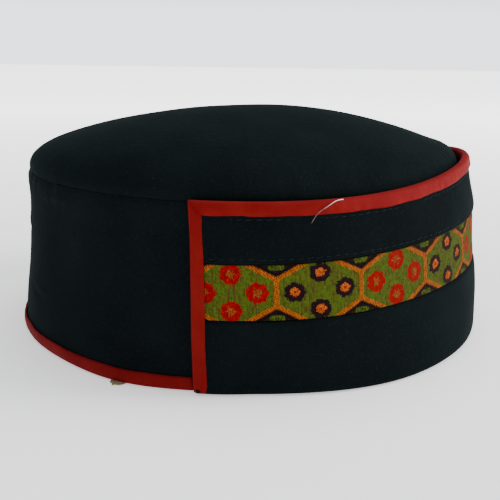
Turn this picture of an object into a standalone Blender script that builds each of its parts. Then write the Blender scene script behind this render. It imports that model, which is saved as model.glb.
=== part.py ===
# Kullu cap: a round wool cap with a domed crown, a turned-up front cuff, a woven band and bound edges.
# Metres, +Z up. The front faces -Y, the cap stands on its lower edge at z = 0.

import bmesh
import bpy
import numpy as np
from math import pi, radians

# Oval plan of the side wall, over its outer face
LOWER_LENGTH = 0.1940
LOWER_WIDTH = 0.1880
UPPER_LENGTH = 0.1811
UPPER_WIDTH = 0.1724
LOWER_SETBACK = 0.0009
UPPER_SETBACK = 0.0029
FRONT_PINCH = 0.18

# Heights above the resting surface
SEAM_SIDE = 0.0644
SEAM_TILT = 0.0007
CUFF_SIDE = 0.0658
CUFF_FRONT = 0.0741
PANEL_SIDE = 0.0270
PANEL_FRONT = 0.0325
BAND_HEIGHT = 0.0185

# Cloth thicknesses
WALL_CLOTH = 0.0020
CROWN_CLOTH = 0.0020
CUFF_CLOTH = 0.0023
CUFF_BACKING = 0.0008
BAND_CLOTH = 0.0006
BINDING_CLOTH = 0.0007

# Crown panel
EDGE_RISE = 0.0021
SHOULDER_RISE = 0.0072
DOME_RISE = 0.0168
DOME_LEAN = 0.0031
CROWN_OVERHANG = 0.0006
SEAM_TUCK = 0.0009
SEAM_BULGE = 0.0006

# Bindings
TOP_BINDING_WIDTH = 0.0052
INNER_BINDING_WIDTH = 0.0035
HEM_BINDING_WIDTH = 0.0050

# Cuff ends, as angles from the front, and how far the cuff stands off the wall
END_ANGLE_LOWER = radians(99.7)
END_ANGLE_UPPER = radians(100.8)
TOP_LEAN = 0.0017
FRONT_LEAN = 0.0007
END_LEAN = 0.0010
END_LEAN_REACH = 0.0160
FOLD_RADIUS = 0.0015

# Clearance between pieces that touch on the real cap
CLEARANCE = 0.0003

# Stations round the cap and along the cuff
RING_STEPS = 72
CUFF_STEPS = 34
TANGENT_STEP = radians(0.5)

# Rows up the lower panel, the band and the upper strip, as shares of their heights
PANEL_ROWS = (0.3, 0.62, 1.0)
BAND_ROWS = (0.0, 0.5, 1.0)
STRIP_ROWS = (0.0, 0.35, 0.7, 1.0)

# Share of the way from the lower oval to the upper one, by share of the wall's height
NARROWING_HEIGHTS = (0.0, 0.10, 0.25, 0.53, 0.80, 1.0, 1.15)
NARROWING_SHARES = (0.0, 0.01, 0.08, 0.44, 0.68, 1.0, 1.10)

# Soft dents: angle from the front in degrees, height share, depth as a share of the wall cloth,
# half width in degrees, half height as a share of the wall's height
DENTS = (
    (-142, 0.42, 0.35, 20, 0.26),
    (-112, 0.75, 0.20, 12, 0.20),
    (128, 0.50, 0.40, 24, 0.30),
    (172, 0.30, 0.25, 26, 0.25),
)

# Derived sizes
WALL_FOOT = CUFF_CLOTH + CLEARANCE
EDGE_SETBACK = BINDING_CLOTH + CLEARANCE
MEAN_RADIUS = (LOWER_LENGTH + LOWER_WIDTH + UPPER_LENGTH + UPPER_WIDTH) / 8


# Shape of the oval drum

def smooth_step(value):
    value = np.clip(value, 0.0, 1.0)
    return value * value * (3.0 - 2.0 * value)


def front_share(angle):
    """1 at the front, fading to 0 at the sides and behind them."""
    return np.maximum(np.cos(angle), 0.0) ** 2


def seam_height(angle):
    """The crown seam is a tilted plane, low at the front."""
    return SEAM_SIDE - SEAM_TILT * np.cos(angle)


def cuff_height(angle):
    return CUFF_SIDE + (CUFF_FRONT - CUFF_SIDE) * front_share(angle)


def band_foot(angle):
    return PANEL_SIDE + (PANEL_FRONT - PANEL_SIDE) * front_share(angle)


def strip_foot(angle):
    return band_foot(angle) + BAND_HEIGHT + CLEARANCE


def cloth_top(angle):
    """Top edge of the cuff's cloth, inside the binding."""
    return cuff_height(angle) - EDGE_SETBACK


def panel_rows(angle):
    return [(band_foot(angle) - CLEARANCE) * level for level in PANEL_ROWS]


def backing_rows(angle):
    """Heights of the rows that the backing shares with the band and the strip on it."""
    reach = cloth_top(angle) - strip_foot(angle)
    strip = [strip_foot(angle) + reach * level for level in STRIP_ROWS]
    return [band_foot(angle) + BAND_HEIGHT / 2, *strip]


def dent_depth(angle, share):
    """Sum of the soft dents, each a bell in angle and in height."""
    depth = 0.0
    for centre, level, amount, half_angle, half_height in DENTS:
        turn = (np.degrees(angle) - centre + 180.0) % 360.0 - 180.0
        bell = np.exp(-(turn / half_angle) ** 2 - ((share - level) / half_height) ** 2)
        depth = depth + amount * WALL_CLOTH * bell
    return depth


def pinch(angle, height):
    """Share of the width kept: the top narrows to a blunt point at the front."""
    return 1.0 - FRONT_PINCH * (height / CUFF_SIDE) ** 2 * front_share(angle)


def wall_plan(angle, height):
    """Plan position of the wall's outer face at an angle from the front and a height."""
    share = height / SEAM_SIDE
    blend = np.interp(share, NARROWING_HEIGHTS, NARROWING_SHARES)
    depth = dent_depth(angle, share)
    half_width = (LOWER_WIDTH + (UPPER_WIDTH - LOWER_WIDTH) * blend) / 2 - depth
    half_length = (LOWER_LENGTH + (UPPER_LENGTH - LOWER_LENGTH) * blend) / 2 - depth
    setback = LOWER_SETBACK + (UPPER_SETBACK - LOWER_SETBACK) * blend ** 3
    return half_width * pinch(angle, height) * np.sin(angle), setback - half_length * np.cos(angle)


def drum_point(angle, height, offset):
    """Point an offset outside the wall's outer face, measured square to the plan curve."""
    x, y = wall_plan(angle, height)
    ahead_x, ahead_y = wall_plan(angle + TANGENT_STEP, height)
    behind_x, behind_y = wall_plan(angle - TANGENT_STEP, height)
    run_x = ahead_x - behind_x
    run_y = ahead_y - behind_y
    run = np.hypot(run_x, run_y)
    return x + offset * run_y / run, y - offset * run_x / run, height


def end_angle(height):
    """The cuff's free ends lean back a little towards the top."""
    share = height / CUFF_SIDE
    return END_ANGLE_LOWER + (END_ANGLE_UPPER - END_ANGLE_LOWER) * share


def edge_distance(angle, height):
    return (end_angle(height) - abs(angle)) * MEAN_RADIUS


def cuff_gap(angle, height):
    """Space between the wall's outer face and the cuff's inner face."""
    rise = (height / cuff_height(angle)) ** 1.5
    past_binding = edge_distance(angle, height) - TOP_BINDING_WIDTH - 3 * CLEARANCE
    near_end = 1.0 - smooth_step(past_binding / END_LEAN_REACH)
    lean = TOP_LEAN * rise + END_LEAN * near_end * (1.0 - rise)
    return CLEARANCE + lean + FRONT_LEAN * rise * front_share(angle)


def angle_at(fraction, height, inset):
    """Angle at a fraction -1 to 1 of the cuff's run, whose ends lie an inset inside the free edge."""
    return fraction * (end_angle(height) - inset / MEAN_RADIUS)


# Scene helpers

def clear_scene():
    for old in list(bpy.data.objects):
        bpy.data.objects.remove(old, do_unlink=True)


def make_collection(name):
    collection = bpy.data.collections.new(name)
    bpy.context.scene.collection.children.link(collection)
    return collection


def make_material(name, colour, roughness):
    material = bpy.data.materials.new(name)
    material.use_nodes = True
    shader = material.node_tree.nodes["Principled BSDF"]
    shader.inputs["Base Color"].default_value = (*colour, 1.0)
    shader.inputs["Roughness"].default_value = roughness
    shader.inputs["Metallic"].default_value = 0.0
    material.diffuse_color = (*colour, 1.0)
    return material


def make_object(name, vertices, faces, collection, material):
    mesh = bpy.data.meshes.new(name)
    mesh.from_pydata(vertices, [], faces)
    mesh.validate()
    mesh.shade_smooth()
    mesh.set_sharp_from_angle(angle=radians(35))
    mesh.materials.append(material)
    piece = bpy.data.objects.new(name, mesh)
    collection.objects.link(piece)
    return piece


def add_solidify(piece, thickness):
    """The modelled surface is the outer face; the cloth's thickness goes inwards."""
    shell = piece.modifiers.new("Cloth", "SOLIDIFY")
    shell.thickness = thickness
    shell.offset = -1.0
    shell.use_even_offset = True
    shell.use_rim = True


def finish_solid(piece):
    """Split the lofted faces into triangles and turn them outwards."""
    shape = bmesh.new()
    shape.from_mesh(piece.data)
    bmesh.ops.triangulate(shape, faces=shape.faces)
    bmesh.ops.recalc_face_normals(shape, faces=shape.faces)
    shape.to_mesh(piece.data)
    shape.free()


def grid_faces(rows, columns, closed_rows, closed_columns):
    """Quads between neighbouring rows and columns of a grid of points."""
    faces = []
    for row in range(rows if closed_rows else rows - 1):
        for column in range(columns if closed_columns else columns - 1):
            next_row = (row + 1) % rows
            next_column = (column + 1) % columns
            faces.append((
                row * columns + column,
                row * columns + next_column,
                next_row * columns + next_column,
                next_row * columns + column,
            ))
    return faces


def loft_solid(name, stations, collection, material):
    """Closed solid through a list of closed sections, each a list of points, with flat ends."""
    count = len(stations[0])
    vertices = [point for section in stations for point in section]
    faces = grid_faces(len(stations), count, False, True)
    last = (len(stations) - 1) * count
    faces.append(tuple(range(count - 1, -1, -1)))
    faces.append(tuple(range(last, last + count)))
    solid = make_object(name, vertices, faces, collection, material)
    finish_solid(solid)
    return solid


# Pieces

def make_side_wall(collection, material):
    """Open tube of cloth from the lower edge to the crown seam, bulging just under the seam."""
    levels = (0.0, 0.06, 0.22, 0.45, 0.68, 0.86, 0.94, 1.0)
    vertices = []
    for level in levels:
        for step in range(RING_STEPS):
            angle = 2 * pi * step / RING_STEPS
            height = WALL_FOOT + (seam_height(angle) - WALL_FOOT) * level
            bulge = SEAM_BULGE * np.exp(-((level - 0.94) / 0.05) ** 2)
            tuck = SEAM_TUCK * smooth_step((level - 0.94) / 0.06)
            vertices.append(drum_point(angle, height, bulge - tuck))
    faces = grid_faces(len(levels), RING_STEPS, False, True)
    wall = make_object("side_wall", vertices, faces, collection, material)
    add_solidify(wall, WALL_CLOTH)
    return wall


def crown_point(angle, share):
    """Rounded shoulder plus a parabolic dome that swells towards the front, over the tilted seam."""
    narrowed = 1.0 - (1.0 - pinch(angle, SEAM_SIDE)) * share ** 2
    x = share * (UPPER_WIDTH / 2 + CROWN_OVERHANG) * narrowed * np.sin(angle)
    y = UPPER_SETBACK - share * (UPPER_LENGTH / 2 + CROWN_OVERHANG) * np.cos(angle)
    dome = 1.0 - share ** 2
    rise = EDGE_RISE + SHOULDER_RISE * np.sqrt(1.0 - share ** 12) + DOME_RISE * dome
    tilt = (DOME_LEAN * dome - SEAM_TILT) * share * np.cos(angle)
    return x, y, SEAM_SIDE + rise + tilt


def make_crown_top(collection, material):
    """Domed round panel whose edge turns down to the seam."""
    shares = (1.0, 0.994, 0.972, 0.93, 0.86, 0.74, 0.58, 0.40, 0.20)
    angles = [2 * pi * step / RING_STEPS for step in range(RING_STEPS)]
    vertices = []
    for angle in angles:
        x, y, _ = crown_point(angle, 1.0 - SEAM_TUCK / MEAN_RADIUS)
        vertices.append((x, y, seam_height(angle) + CLEARANCE))
    for share in shares:
        vertices += [crown_point(angle, share) for angle in angles]
    centre = len(vertices)
    vertices.append(crown_point(0.0, 0.0))
    faces = grid_faces(len(shares) + 1, RING_STEPS, False, True)
    inner_ring = centre - RING_STEPS
    for step in range(RING_STEPS):
        faces.append((inner_ring + step, inner_ring + (step + 1) % RING_STEPS, centre))
    crown = make_object("crown_top", vertices, faces, collection, material)
    add_solidify(crown, CROWN_CLOTH)
    return crown


def cuff_section(fraction, folded):
    """Section of the cuff: outer leg, step for the band, thin backing, and the fold under the wall."""
    def place(height, outward):
        angle = angle_at(fraction, height, EDGE_SETBACK)
        return drum_point(angle, height, cuff_gap(angle, height) + outward)

    angle = angle_at(fraction, CUFF_SIDE / 2, EDGE_SETBACK)
    panel = panel_rows(angle)
    backing = [panel[-1], *backing_rows(angle)]
    tip = -WALL_CLOTH - cuff_gap(angle, 0.0) if folded else CLEARANCE / 3
    points = [place(0.0, tip), place(0.0, CUFF_CLOTH - FOLD_RADIUS)]
    points.append(place(FOLD_RADIUS * 0.29, CUFF_CLOTH - FOLD_RADIUS * 0.29))
    points += [place(height, CUFF_CLOTH) for height in (FOLD_RADIUS, *panel)]
    points += [place(height, CUFF_BACKING) for height in backing]
    points += [place(height, 0.0) for height in reversed(backing)]
    points += [place(height, 0.0) for height in reversed(panel[:-1])]
    points += [place(CUFF_CLOTH, 0.0), place(CUFF_CLOTH, tip)]
    return points


def cuff_fractions():
    """Even steps along the cuff, with two close steps near each end where the fold stops."""
    half_run = angle_at(1.0, CUFF_SIDE / 2, EDGE_SETBACK) * MEAN_RADIUS
    stop = 1.0 - (TOP_BINDING_WIDTH + CLEARANCE - EDGE_SETBACK) / half_run
    start = stop - 2 * CLEARANCE / half_run
    inner = np.linspace(-start, start, CUFF_STEPS - 3)
    return [-1.0, -stop, *inner, stop, 1.0]


def make_front_cuff(collection, material):
    fractions = cuff_fractions()
    folded = [1 < index < len(fractions) - 2 for index in range(len(fractions))]
    stations = [cuff_section(fraction, fold) for fraction, fold in zip(fractions, folded)]
    return loft_solid("front_cuff", stations, collection, material)


def make_cuff_sheet(name, foot_of, head_of, levels, outward, thickness, collection, material):
    """Strip of cloth laid on the cuff's backing between two heights that follow the cuff."""
    vertices = []
    for level in levels:
        for fraction in cuff_fractions():
            middle = angle_at(fraction, CUFF_SIDE / 2, EDGE_SETBACK)
            height = foot_of(middle) + (head_of(middle) - foot_of(middle)) * level
            angle = angle_at(fraction, height, EDGE_SETBACK)
            vertices.append(drum_point(angle, height, cuff_gap(angle, height) + outward))
    faces = grid_faces(len(levels), len(cuff_fractions()), False, False)
    sheet = make_object(name, vertices, faces, collection, material)
    add_solidify(sheet, thickness)
    return sheet


def make_patterned_band(collection, material):
    outward = CUFF_BACKING + CLEARANCE + BAND_CLOTH
    return make_cuff_sheet(
        "patterned_band", band_foot, lambda angle: band_foot(angle) + BAND_HEIGHT,
        BAND_ROWS, outward, BAND_CLOTH, collection, material)


def make_upper_strip(collection, material):
    thickness = CUFF_CLOTH - CUFF_BACKING - CLEARANCE
    return make_cuff_sheet(
        "upper_strip", strip_foot, cloth_top,
        STRIP_ROWS, CUFF_CLOTH, thickness, collection, material)


def binding_section(place):
    """U section round a cloth edge: place takes the inset from the edge and the offset on the cuff."""
    outer = CUFF_CLOTH + CLEARANCE + BINDING_CLOTH
    inner = -CLEARANCE - BINDING_CLOTH
    return [
        place(0.0, inner),
        place(0.0, outer),
        place(TOP_BINDING_WIDTH, outer),
        place(TOP_BINDING_WIDTH, outer - BINDING_CLOTH),
        place(BINDING_CLOTH, outer - BINDING_CLOTH),
        place(BINDING_CLOTH, inner + BINDING_CLOTH),
        place(INNER_BINDING_WIDTH, inner + BINDING_CLOTH),
        place(INNER_BINDING_WIDTH, inner),
    ]


def make_cuff_binding(collection, material):
    """Binding up one end of the cuff, along its top edge and down the other end, mitred at the corners."""
    end = angle_at(1.0, CUFF_SIDE / 2, EDGE_SETBACK)
    corner_foot = cuff_height(end) - TOP_BINDING_WIDTH - CLEARANCE
    rows = [0.0, FOLD_RADIUS, *panel_rows(end), *backing_rows(end)]
    rows = [height for height in rows if height < corner_foot]

    def on_cuff(angle, height, outward):
        return drum_point(angle, height, cuff_gap(angle, height) + outward)

    def upright(side, height):
        def place(inset, outward):
            angle = side * (end_angle(height) - inset / MEAN_RADIUS)
            return on_cuff(angle, height, outward)
        return binding_section(place)

    def corner(side):
        def place(inset, outward):
            height = cuff_height(end_angle(CUFF_SIDE)) - inset
            angle = side * (end_angle(height) - inset / MEAN_RADIUS)
            return on_cuff(angle, height, outward)
        return binding_section(place)

    def along(fraction):
        def place(inset, outward):
            angle = angle_at(fraction, CUFF_SIDE, EDGE_SETBACK)
            return on_cuff(angle, cuff_height(angle) - inset, outward)
        return binding_section(place)

    stations = [upright(-1, height) for height in rows]
    stations.append(corner(-1))
    stations += [along(fraction) for fraction in cuff_fractions()[2:-2]]
    stations.append(corner(1))
    stations += [upright(1, height) for height in reversed(rows)]
    return loft_solid("cuff_binding", stations, collection, material)


def make_hem_binding(collection, material):
    """U section round the bare back wall's lower edge, from one end of the cuff to the other."""
    outer = CLEARANCE + BINDING_CLOTH
    inner = -WALL_CLOTH - CLEARANCE - BINDING_CLOTH
    slope = BINDING_CLOTH * 0.8
    profile = (
        (outer - slope, 0.0), (outer, slope), (outer, HEM_BINDING_WIDTH),
        (CLEARANCE, HEM_BINDING_WIDTH), (CLEARANCE, CUFF_CLOTH),
        (inner + BINDING_CLOTH, CUFF_CLOTH), (inner + BINDING_CLOTH, HEM_BINDING_WIDTH),
        (inner, HEM_BINDING_WIDTH), (inner, slope), (inner + slope, 0.0),
    )
    steps = round(RING_STEPS * (pi - END_ANGLE_LOWER) / pi)
    stations = []
    for step in range(steps + 1):
        section = []
        for offset, height in profile:
            start = end_angle(height) + CLEARANCE / MEAN_RADIUS
            angle = start + (2 * pi - 2 * start) * step / steps
            section.append(drum_point(angle, height, offset))
        stations.append(section)
    return loft_solid("hem_binding", stations, collection, material)


def main():
    clear_scene()
    cap = make_collection("kullu_cap")
    crown_wool = make_material("crown wool", (0.010, 0.014, 0.015), 0.95)
    wall_wool = make_material("wall wool", (0.007, 0.010, 0.011), 0.95)
    cuff_wool = make_material("cuff wool", (0.006, 0.008, 0.009), 0.95)
    strip_wool = make_material("strip wool", (0.006, 0.008, 0.010), 0.95)
    woven = make_material("woven band", (0.120, 0.110, 0.020), 0.85)
    red_top = make_material("cuff binding cloth", (0.230, 0.010, 0.007), 0.75)
    red_hem = make_material("hem binding cloth", (0.150, 0.008, 0.006), 0.75)
    make_crown_top(cap, crown_wool)
    make_side_wall(cap, wall_wool)
    make_front_cuff(cap, cuff_wool)
    make_patterned_band(cap, woven)
    make_upper_strip(cap, strip_wool)
    make_cuff_binding(cap, red_top)
    make_hem_binding(cap, red_hem)


main()
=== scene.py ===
import bpy
import numpy as np
from mathutils import Matrix


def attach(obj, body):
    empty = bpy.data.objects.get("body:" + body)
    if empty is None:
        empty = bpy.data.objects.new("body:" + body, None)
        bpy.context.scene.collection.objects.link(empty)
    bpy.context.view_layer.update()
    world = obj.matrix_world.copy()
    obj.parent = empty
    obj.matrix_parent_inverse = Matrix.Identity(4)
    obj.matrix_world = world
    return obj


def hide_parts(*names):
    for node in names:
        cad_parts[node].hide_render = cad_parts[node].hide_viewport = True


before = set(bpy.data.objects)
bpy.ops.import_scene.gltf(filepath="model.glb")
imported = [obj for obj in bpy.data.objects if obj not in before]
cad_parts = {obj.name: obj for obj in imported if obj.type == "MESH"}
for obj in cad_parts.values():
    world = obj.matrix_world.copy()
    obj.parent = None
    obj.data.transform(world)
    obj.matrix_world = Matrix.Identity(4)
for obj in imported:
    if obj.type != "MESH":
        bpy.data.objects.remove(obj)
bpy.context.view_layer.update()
print("frame loaded, nodes:", ", ".join(sorted(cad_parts)))

# Sizes shared by all the pieces. The cuff, band and cuff binding follow the photo a little closer than
# the solid model does, by at most 2 mm
cap = {
    "lowerLength": 0.1940, "lowerWidth": 0.1880,  # oval of the lower edge
    "upperLength": 0.1811, "upperWidth": 0.1724,  # oval of the crown seam
    "lowerSetback": 0.0009, "upperSetback": 0.0029, "frontPinch": 0.18,
    "seamSide": 0.0644, "seamTilt": 0.0007,
    "cuffSide": 0.0657, "cuffFront": 0.0730,
    "panelSide": 0.0261, "panelFront": 0.0316, "bandHeight": 0.0187,
    "wallCloth": 0.0020, "crownCloth": 0.0020, "cuffCloth": 0.0023,
    "backing": 0.0008, "bandCloth": 0.0006, "bindingCloth": 0.0007, "clear": 0.0003,
    "endLower": np.radians(100.1), "endUpper": np.radians(101.0), "endBow": np.radians(0.5),
    "topLean": 0.0017, "frontLean": 0.0015, "endLean": 0.0010, "endReach": 0.0160,
    "bindingWidth": 0.0046, "innerWidth": 0.0034, "hemWidth": 0.0050,
    "narrowAt": (-0.2, 0.0, 0.10, 0.25, 0.53, 0.80, 1.0, 1.15, 1.35),
    "narrowBy": (0.0, 0.0, 0.01, 0.08, 0.44, 0.68, 1.0, 1.10, 1.22),
    # angle in degrees, reach outwards and half width in degrees of the places where the lower edge splays
    "splays": ((-116, 0.0026, 14), (-60, 0.0020, 18), (150, 0.0016, 26)), "splayHeight": 0.016,
    # angle in degrees, height share, depth, half width in degrees, half height share
    "dents": ((-142, 0.42, 0.0007, 20, 0.26), (-112, 0.75, 0.0004, 12, 0.20),
              (128, 0.50, 0.0008, 24, 0.30), (172, 0.30, 0.0006, 26, 0.25)),
}
cap["radius"] = (cap["lowerLength"] + cap["lowerWidth"] + cap["upperLength"] + cap["upperWidth"]) / 8
cap["setback"] = cap["bindingCloth"] + cap["clear"]  # cloth edge inside its binding

# The wall's narrowing, rounded off where the straight parts of its curve meet
shareTable = np.linspace(-0.2, 1.35, 776)
narrowKernel = np.exp(-0.5 * (np.arange(-60, 61) / 22) ** 2)
narrowTable = np.convolve(np.pad(np.interp(shareTable, cap["narrowAt"], cap["narrowBy"]), 60, "edge"),
                          narrowKernel / narrowKernel.sum(), "valid")


# S-curve from 0 to 1, flat at both ends
def smoothStep(value):
    value = np.clip(value, 0, 1)
    return value * value * (3 - 2 * value)


# Squared cosine of the angle ahead of the sides, nothing behind them
def frontShare(angle):
    return np.maximum(np.cos(angle), 0) ** 2


def seamHeight(angle):
    return cap["seamSide"] - cap["seamTilt"] * np.cos(angle)


# The cuff's top rises towards the front as the cosine to the power of 3.4
def cuffHeight(angle):
    return cap["cuffSide"] + (cap["cuffFront"] - cap["cuffSide"]) * frontShare(angle) ** 1.7


def bandFoot(angle):
    return cap["panelSide"] + (cap["panelFront"] - cap["panelSide"]) * frontShare(angle)


def stripFoot(angle):
    return bandFoot(angle) + cap["bandHeight"] + cap["clear"]


# Sum of soft dents, each a bell in angle and in height
def dentDepth(angle, share):
    depth = 0
    for centre, level, amount, halfAngle, halfHeight in cap["dents"]:
        turn = (np.degrees(angle) - centre + 180) % 360 - 180
        depth = depth + amount * np.exp(-(turn / halfAngle) ** 2 - ((share - level) / halfHeight) ** 2)
    return depth


# Share of the width kept: the top narrows to a blunt point at the front
def pinch(angle, height):
    return 1 - cap["frontPinch"] * (height / cap["cuffSide"]) ** 2 * frontShare(angle)


# Oval of the wall's outer face: half width times sine, half length times cosine, both narrowing upwards
def wallPlan(angle, height):
    share = height / cap["seamSide"]
    blend = np.interp(share, shareTable, narrowTable)
    depth = dentDepth(angle, share)
    halfWidth = (cap["lowerWidth"] + (cap["upperWidth"] - cap["lowerWidth"]) * blend) / 2 - depth
    halfLength = (cap["lowerLength"] + (cap["upperLength"] - cap["lowerLength"]) * blend) / 2 - depth
    setback = cap["lowerSetback"] + (cap["upperSetback"] - cap["lowerSetback"]) * blend ** 3
    return halfWidth * pinch(angle, height) * np.sin(angle), setback - halfLength * np.cos(angle)


# Bells in angle that fade upwards over the lowest part
def splay(angle, height):
    reach = 0
    for centre, amount, halfAngle in cap["splays"]:
        turn = (np.degrees(angle) - centre + 180) % 360 - 180
        reach = reach + amount * np.exp(-(turn / halfAngle) ** 2)
    return reach * (1 - smoothStep(height / cap["splayHeight"])) ** 1.5


# Point at an angle and a height, moved out from the wall's face square to its oval
def drumPoint(angle, height, outward):
    angle, height, outward = np.broadcast_arrays(angle, height, outward)
    outward = outward + splay(angle, height)
    step = np.radians(0.5)
    x, y = wallPlan(angle, height)
    aheadX, aheadY = wallPlan(angle + step, height)
    behindX, behindY = wallPlan(angle - step, height)
    runX, runY = aheadX - behindX, aheadY - behindY
    run = np.hypot(runX, runY)
    return np.stack([x + outward * runY / run, y - outward * runX / run, height + 0 * x], -1)


# The cuff's free ends lean back a little towards the top, and bow back at mid height
def endAngle(height):
    share = height / cap["cuffSide"]
    lean = (cap["endUpper"] - cap["endLower"]) * share
    return cap["endLower"] + lean + cap["endBow"] * 4 * share * (1 - share)


# Space between the wall and the cuff's inner face: it opens upwards, at the front and near the ends
def cuffGap(angle, height):
    rise = np.maximum(height / cuffHeight(angle), 0) ** 1.5
    past = (endAngle(height) - abs(angle)) * cap["radius"] - cap["bindingWidth"] - 3 * cap["clear"]
    nearEnd = 1 - smoothStep(past / cap["endReach"])
    lean = cap["topLean"] * rise + cap["endLean"] * nearEnd * (1 - rise)
    return cap["clear"] + lean + cap["frontLean"] * rise * frontShare(angle)


def onCuff(angle, height, outward):
    return drumPoint(angle, height, cuffGap(angle, height) + outward)


# Angle at a share from -1 to 1 of the cuff's run, which stops an inset inside the free ends
def cuffAngle(share, height, inset):
    return share * (endAngle(height) - inset / cap["radius"])


# Sum of sine waves of about one length in random directions, read at the points' places
def ripple(points, length, seed, waves=14):
    rng = np.random.default_rng(seed)
    total = np.zeros(points.shape[:-1])
    for wave in range(waves):
        direction = rng.normal(size=3)
        direction *= 2 * np.pi / (np.linalg.norm(direction) * length * rng.uniform(0.7, 1.6))
        total += np.sin(points @ direction + rng.uniform(0, 6.28))
    return total / np.sqrt(waves / 2)


# Sum of sine waves along one length only
def waver(along, length, seed, waves=9):
    return ripple(np.stack([along, 0 * along, 0 * along], -1) * 1.6, length, seed, waves)


# Corner numbers of a grid's quads, on the grid and on the unrolled grid of its UV map
def gridCorners(rows, columns, closeRows, closeColumns):
    row, column = np.meshgrid(np.arange(rows - (not closeRows)), np.arange(columns - (not closeColumns)),
                              indexing="ij")
    row, column = row.ravel(), column.ravel()
    rowAt = np.stack([row, row, row + 1, row + 1], 1)
    columnAt = np.stack([column, column + 1, column + 1, column], 1)
    return (rowAt % rows) * columns + columnAt % columns, rowAt * (columns + 1) + columnAt


# UV map in metres: length run along the middle row, and across the middle column
def lengthMap(grid):
    rows, columns = grid.shape[:2]
    middleRow = np.concatenate([grid[rows // 4], grid[rows // 4][:1]])
    middleColumn = np.concatenate([grid[:, columns // 2], grid[:1, columns // 2]])
    along = np.concatenate([[0], np.cumsum(np.linalg.norm(np.diff(middleRow, axis=0), axis=1))])
    across = np.concatenate([[0], np.cumsum(np.linalg.norm(np.diff(middleColumn, axis=0), axis=1))])
    return np.stack(np.meshgrid(along, across), -1)


# Mesh from a grid of points, with its openings closed by end faces or by fans to a pole
def gridPiece(name, grid, materials, uvMap=None, closeRows=False, closeColumns=False, caps=False, poles=None,
              rowFinish=None):
    rows, columns = grid.shape[:2]
    corners, uvCorners = gridCorners(rows, columns, closeRows, closeColumns)
    uvMap = lengthMap(grid) if uvMap is None else uvMap
    points = grid.reshape(-1, 3)
    cornerUv = [uvMap.reshape(-1, 2)[uvCorners].reshape(-1, 2)]
    triangles = [corners[:, :3], corners[:, [0, 2, 3]]]
    extra = []
    if caps:
        first = np.arange(rows) * columns
        extra += [first.tolist(), (first + columns - 1)[::-1].tolist()]
        cornerUv += [uvMap[:rows, 0], uvMap[:rows, columns - 1][::-1]]
    if poles is not None:
        here = np.arange(columns)
        there = (here + 1) % columns
        last = (rows - 1) * columns
        fans = np.concatenate([np.stack([there, here, 0 * here + len(points)], 1),
                               np.stack([last + here, last + there, 0 * here + len(points) + 1], 1)])
        points = np.concatenate([points, poles])
        triangles.append(fans)
        extra += fans.tolist()
        flat = points[fans.ravel()][:, :2]
        cornerUv.append(flat)
    mesh = bpy.data.meshes.new(name)
    mesh.from_pydata(points.tolist(), [], corners.tolist() + extra)
    uvLayer = mesh.uv_layers.new(name="cloth")
    uvLayer.uv.foreach_set("vector", np.concatenate(cornerUv).astype(np.float32).ravel())
    smooth = np.ones(len(mesh.polygons), bool)
    if caps:
        smooth[-2:] = False
    mesh.polygons.foreach_set("use_smooth", smooth)
    for material in materials:
        mesh.materials.append(material)
    if rowFinish is not None:
        finish = np.repeat(rowFinish, columns - (not closeColumns))
        finish = np.concatenate([finish, np.full(len(extra), finish[-1])])
        if poles is not None:
            finish[-2 * columns:-columns] = rowFinish[0]
        mesh.polygons.foreach_set("material_index", finish.astype(np.int32))
    solid = np.concatenate(triangles)
    a, b, c = points[solid[:, 0]], points[solid[:, 1]], points[solid[:, 2]]
    if (a * np.cross(b, c)).sum() < 0:
        mesh.flip_normals()
    mesh.update()
    piece = bpy.data.objects.new(name, mesh)
    bpy.context.scene.collection.objects.link(piece)
    return piece


# Round threads: a circle of points carried along each path, with both ends closed
def threadPiece(name, paths, radius, sides, materials, taper=None):
    count, steps = paths.shape[:2]
    tangent = np.gradient(paths, axis=1)
    tangent /= np.linalg.norm(tangent, axis=2, keepdims=True)
    side = np.cross(tangent, np.array([0.31, 0.52, 0.79]))
    side /= np.linalg.norm(side, axis=2, keepdims=True)
    lift = np.cross(tangent, side)
    turn = np.linspace(0, 2 * np.pi, sides, endpoint=False)
    thick = radius * (np.ones(steps) if taper is None else taper)
    ring = side[:, :, None] * np.cos(turn)[:, None] + lift[:, :, None] * np.sin(turn)[:, None]
    points = (paths[:, :, None] + ring * thick[:, None, None]).reshape(-1, 3)
    corners = gridCorners(steps, sides, False, True)[0]
    offsets = np.arange(count)[:, None, None] * steps * sides
    quads = (corners[None] + offsets).reshape(-1, 4)[:, ::-1]
    ends = np.stack([np.arange(sides), np.arange(steps * sides - 1, (steps - 1) * sides - 1, -1)])
    ends = (ends[None] + offsets).reshape(-1, sides)
    mesh = bpy.data.meshes.new(name)
    mesh.from_pydata(points.tolist(), [], quads.tolist() + ends.tolist())
    mesh.polygons.foreach_set("use_smooth", np.ones(len(mesh.polygons), bool))
    a, b, c = points[quads[:, 0]], points[quads[:, 1]], points[quads[:, 2]]
    middle = np.repeat(paths[:, :-1].reshape(-1, 3), sides, axis=0)
    if ((a - middle) * np.cross(b - a, c - a)).sum() < 0:
        mesh.flip_normals()
    for material in materials:
        mesh.materials.append(material)
    mesh.update()
    piece = bpy.data.objects.new(name, mesh)
    bpy.context.scene.collection.objects.link(piece)
    return piece


# Linear colour of a red, green, blue reading from 0 to 255
def screenColour(*reading):
    value = np.array(reading, float) / 255
    return tuple(np.where(value <= 0.04045, value / 12.92, ((value + 0.055) / 1.055) ** 2.4)) + (1.0,)


def addNode(tree, kind, inputs=None, **settings):
    node = tree.nodes.new(kind)
    for key, value in settings.items():
        setattr(node, key, value)
    for key, value in (inputs or {}).items():
        node.inputs[key].default_value = value
    return node


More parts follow.
